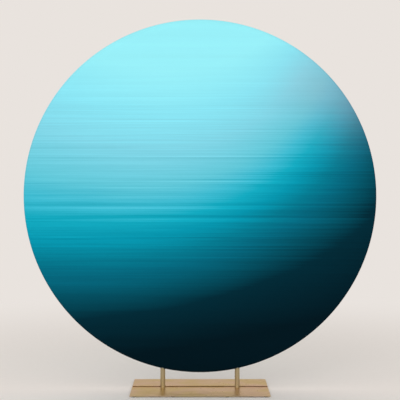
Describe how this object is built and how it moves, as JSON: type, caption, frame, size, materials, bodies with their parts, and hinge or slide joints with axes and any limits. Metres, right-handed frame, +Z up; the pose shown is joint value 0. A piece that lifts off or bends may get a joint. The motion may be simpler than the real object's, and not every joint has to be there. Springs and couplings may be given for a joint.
{
  "type": "round fabric backdrop stand",
  "caption": "Round stretch-fabric backdrop panel: a printed cover over a knock-down tube ring, held by clamped posts on a folding metal base.",
  "frame": {"origin": "on the floor, below the middle of the ring, at the middle of the base", "axes": "+Z up, +X to the right seen from the printed side, which faces -Y"},
  "size_m": [2, 0.41, 2.094],
  "materials": {
    "printed_fabric": "matte printed stretch polyester, aqua above fading to navy below, pale on the reverse",
    "elastic": "woven elastic",
    "binding_tape": "twill tape",
    "ring_tube": "bright zinc plated",
    "spring_steel": "nickel plated",
    "gold_metal": "polished champagne gold plating",
    "zinc_steel": "zinc plated",
    "hinge_brass": "satin",
    "black_plastic": "matte moulded",
    "black_rubber": "matte"
  },
  "bodies": {
    "base": {"base_leaf_front": "gold_metal", "rubber_feet_front": "black_rubber", "hinge_flap_front": "hinge_brass", "hinge_rivets_front": "hinge_brass", "hinge_pin": "hinge_brass", "foot_screws": "zinc_steel", "post_left": "gold_metal", "post_right": "gold_metal", "post_plug_left": "zinc_steel", "post_plug_right": "zinc_steel", "clamp_boss_left": "gold_metal", "clamp_boss_right": "gold_metal"},
    "rear_leaf": {"base_leaf_rear": "gold_metal", "rubber_feet_rear": "black_rubber", "hinge_flap_rear": "hinge_brass", "hinge_rivets_rear": "hinge_brass"},
    "panel": {"cover_front": "printed_fabric", "cover_rim": "printed_fabric", "cover_margin": "printed_fabric", "hem_elastic": "elastic", "opening_bindings": "binding_tape", "ring_arc_1": "ring_tube", "ring_arc_2": "ring_tube", "ring_arc_3": "ring_tube", "ring_arc_4": "ring_tube", "ring_arc_5": "ring_tube", "ring_arc_6": "ring_tube", "ring_arc_7": "ring_tube", "ring_arc_8": "ring_tube", "ring_joiner_1": "ring_tube", "ring_joiner_2": "ring_tube", "ring_joiner_3": "ring_tube", "ring_joiner_4": "ring_tube", "ring_joiner_5": "ring_tube", "ring_joiner_6": "ring_tube", "ring_joiner_7": "ring_tube", "ring_joiner_8": "ring_tube", "button_spring_1": "spring_steel", "button_spring_2": "spring_steel", "button_spring_3": "spring_steel", "button_spring_4": "spring_steel", "button_spring_5": "spring_steel", "button_spring_6": "spring_steel", "button_spring_7": "spring_steel", "button_spring_8": "spring_steel", "ring_rivets": "spring_steel", "ring_stub_left": "gold_metal", "ring_stub_right": "gold_metal"},
    "clamp_left_screw": {"clamp_screw_left": "zinc_steel"},
    "clamp_left_knob": {"clamp_knob_left": "black_plastic"},
    "clamp_right_screw": {"clamp_screw_right": "zinc_steel"},
    "clamp_right_knob": {"clamp_knob_right": "black_plastic"},
    "button_1": {"snap_button_1": "spring_steel"},
    "button_2": {"snap_button_2": "spring_steel"},
    "button_3": {"snap_button_3": "spring_steel"},
    "button_4": {"snap_button_4": "spring_steel"},
    "button_5": {"snap_button_5": "spring_steel"},
    "button_6": {"snap_button_6": "spring_steel"},
    "button_7": {"snap_button_7": "spring_steel"},
    "button_8": {"snap_button_8": "spring_steel"}
  },
  "joints": [
    {"name": "rear_leaf_fold", "type": "hinge", "parent": "base", "child": "rear_leaf", "pos_m": [0, 0.018, 0.00235], "axis": [1, 0, 0], "range_deg": [-180, 0]},
    {"name": "panel_lift", "type": "slide", "parent": "base", "child": "panel", "axis": [0, 0, 1], "range_m": [0, 0.1]},
    {"name": "clamp_left_travel", "type": "slide", "parent": "base", "child": "clamp_left_screw", "axis": [0, 1, 0], "range_m": [0, 0.0026]},
    {"name": "clamp_left_turn", "type": "hinge", "parent": "clamp_left_screw", "child": "clamp_left_knob", "pos_m": [-0.211, 0.034, 0.06], "axis": [0, 1, 0], "range_deg": [0, 900]},
    {"name": "clamp_right_travel", "type": "slide", "parent": "base", "child": "clamp_right_screw", "axis": [0, 1, 0], "range_m": [0, 0.0026]},
    {"name": "clamp_right_turn", "type": "hinge", "parent": "clamp_right_screw", "child": "clamp_right_knob", "pos_m": [0.211, 0.034, 0.06], "axis": [0, 1, 0], "range_deg": [0, 900]},
    {"name": "button_1_press", "type": "slide", "parent": "panel", "child": "button_1", "axis": [0.9118, 0, 0.4107], "range_m": [0, 0.0042], "stiffness_N_per_m": 600, "springref_m": -0.001, "deforming": ["button_spring_1"]},
    {"name": "button_2_press", "type": "slide", "parent": "panel", "child": "button_2", "axis": [0.3543, 0, 0.9351], "range_m": [0, 0.0042], "stiffness_N_per_m": 600, "springref_m": -0.001, "deforming": ["button_spring_2"]},
    {"name": "button_3_press", "type": "slide", "parent": "panel", "child": "button_3", "axis": [-0.4107, 0, 0.9118], "range_m": [0, 0.0042], "stiffness_N_per_m": 600, "springref_m": -0.001, "deforming": ["button_spring_3"]},
    {"name": "button_4_press", "type": "slide", "parent": "panel", "child": "button_4", "axis": [-0.9351, 0, 0.3543], "range_m": [0, 0.0042], "stiffness_N_per_m": 600, "springref_m": -0.001, "deforming": ["button_spring_4"]},
    {"name": "button_5_press", "type": "slide", "parent": "panel", "child": "button_5", "axis": [-0.9118, 0, -0.4107], "range_m": [0, 0.0042], "stiffness_N_per_m": 600, "springref_m": -0.001, "deforming": ["button_spring_5"]},
    {"name": "button_6_press", "type": "slide", "parent": "panel", "child": "button_6", "axis": [-0.3543, 0, -0.9351], "range_m": [0, 0.0042], "stiffness_N_per_m": 600, "springref_m": -0.001, "deforming": ["button_spring_6"]},
    {"name": "button_7_press", "type": "slide", "parent": "panel", "child": "button_7", "axis": [0.4107, 0, -0.9118], "range_m": [0, 0.0042], "stiffness_N_per_m": 600, "springref_m": -0.001, "deforming": ["button_spring_7"]},
    {"name": "button_8_press", "type": "slide", "parent": "panel", "child": "button_8", "axis": [0.9351, 0, -0.3543], "range_m": [0, 0.0042], "stiffness_N_per_m": 600, "springref_m": -0.001, "deforming": ["button_spring_8"]}
  ],
  "couplings": [
    {"joint": "clamp_left_travel", "follows": "clamp_left_turn", "m_per_rad": 0.00015915},
    {"joint": "clamp_right_travel", "follows": "clamp_right_turn", "m_per_rad": 0.00015915}
  ]
}
